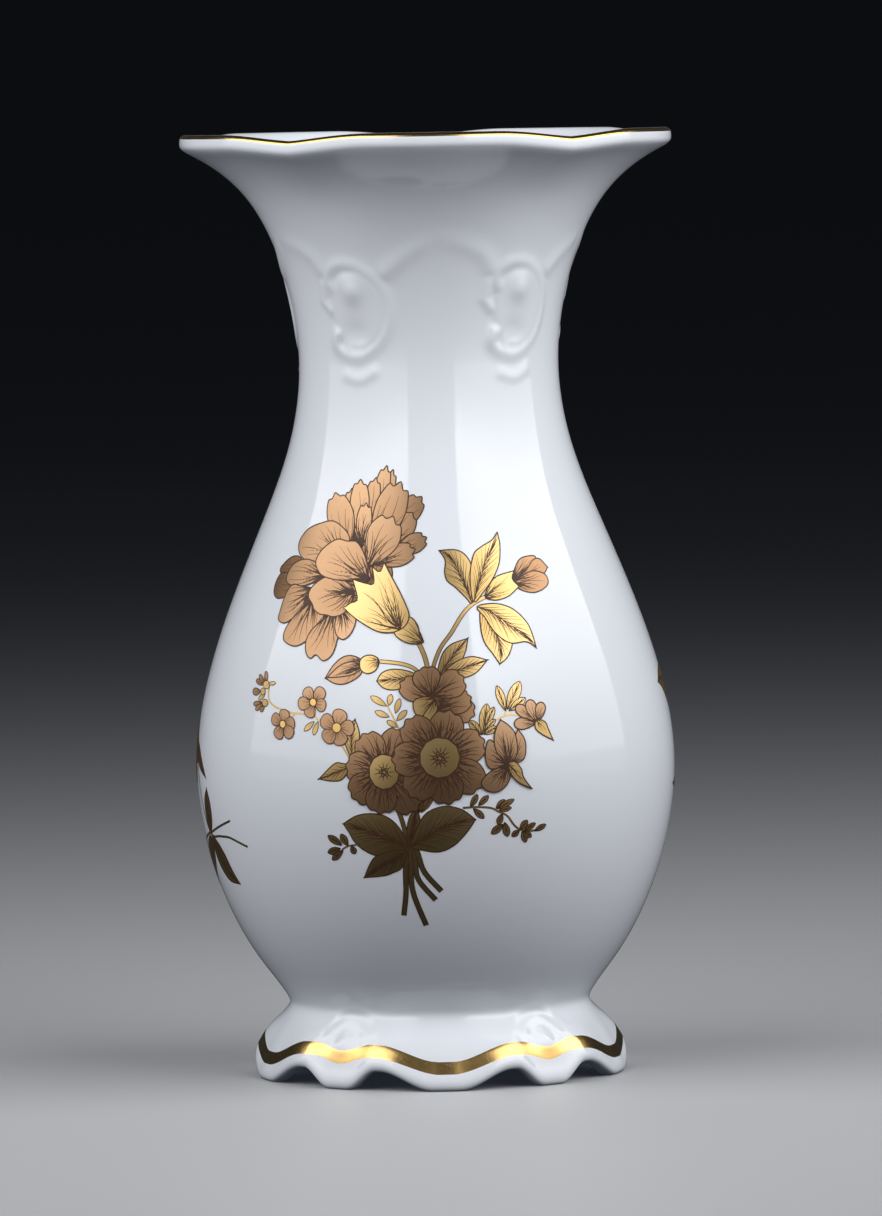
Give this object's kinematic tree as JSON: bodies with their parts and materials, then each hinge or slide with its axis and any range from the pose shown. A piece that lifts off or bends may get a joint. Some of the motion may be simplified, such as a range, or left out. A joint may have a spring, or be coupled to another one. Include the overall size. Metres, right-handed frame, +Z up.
{
  "type": "porcelain vase",
  "caption": "Baluster vase in glazed porcelain with a lobed flaring mouth, a scalloped foot and fired gold flower decoration.",
  "frame": {"origin": "on the ground at the centre of the foot, on the axis of the vase", "axes": "+Z up along the axis from the foot to the mouth; -Y is the front, where the main bouquet is; +X is to the right seen from the front"},
  "size_m": [0.1042, 0.1036, 0.2],
  "materials": {
    "glazed_porcelain": "clear glossy glaze over bluish white porcelain",
    "bright_gold": "fired bright gold with dark printed linework",
    "copper_gold": "fired copper-toned gold with dark printed linework"
  },
  "bodies": {
    "root": {"vase_body": "glazed_porcelain", "rim_gold_line": "bright_gold", "foot_gold_band": "bright_gold", "carnation": "copper_gold", "rose_cluster": "copper_gold", "rosebud": "copper_gold", "nodding_bud": "copper_gold", "upper_foliage": "bright_gold", "lower_foliage": "bright_gold", "forget_me_nots": "copper_gold", "small_sprig": "copper_gold", "trailing_sprig": "bright_gold", "left_spray": "bright_gold", "right_spray": "bright_gold"}
  },
  "joints": []
}
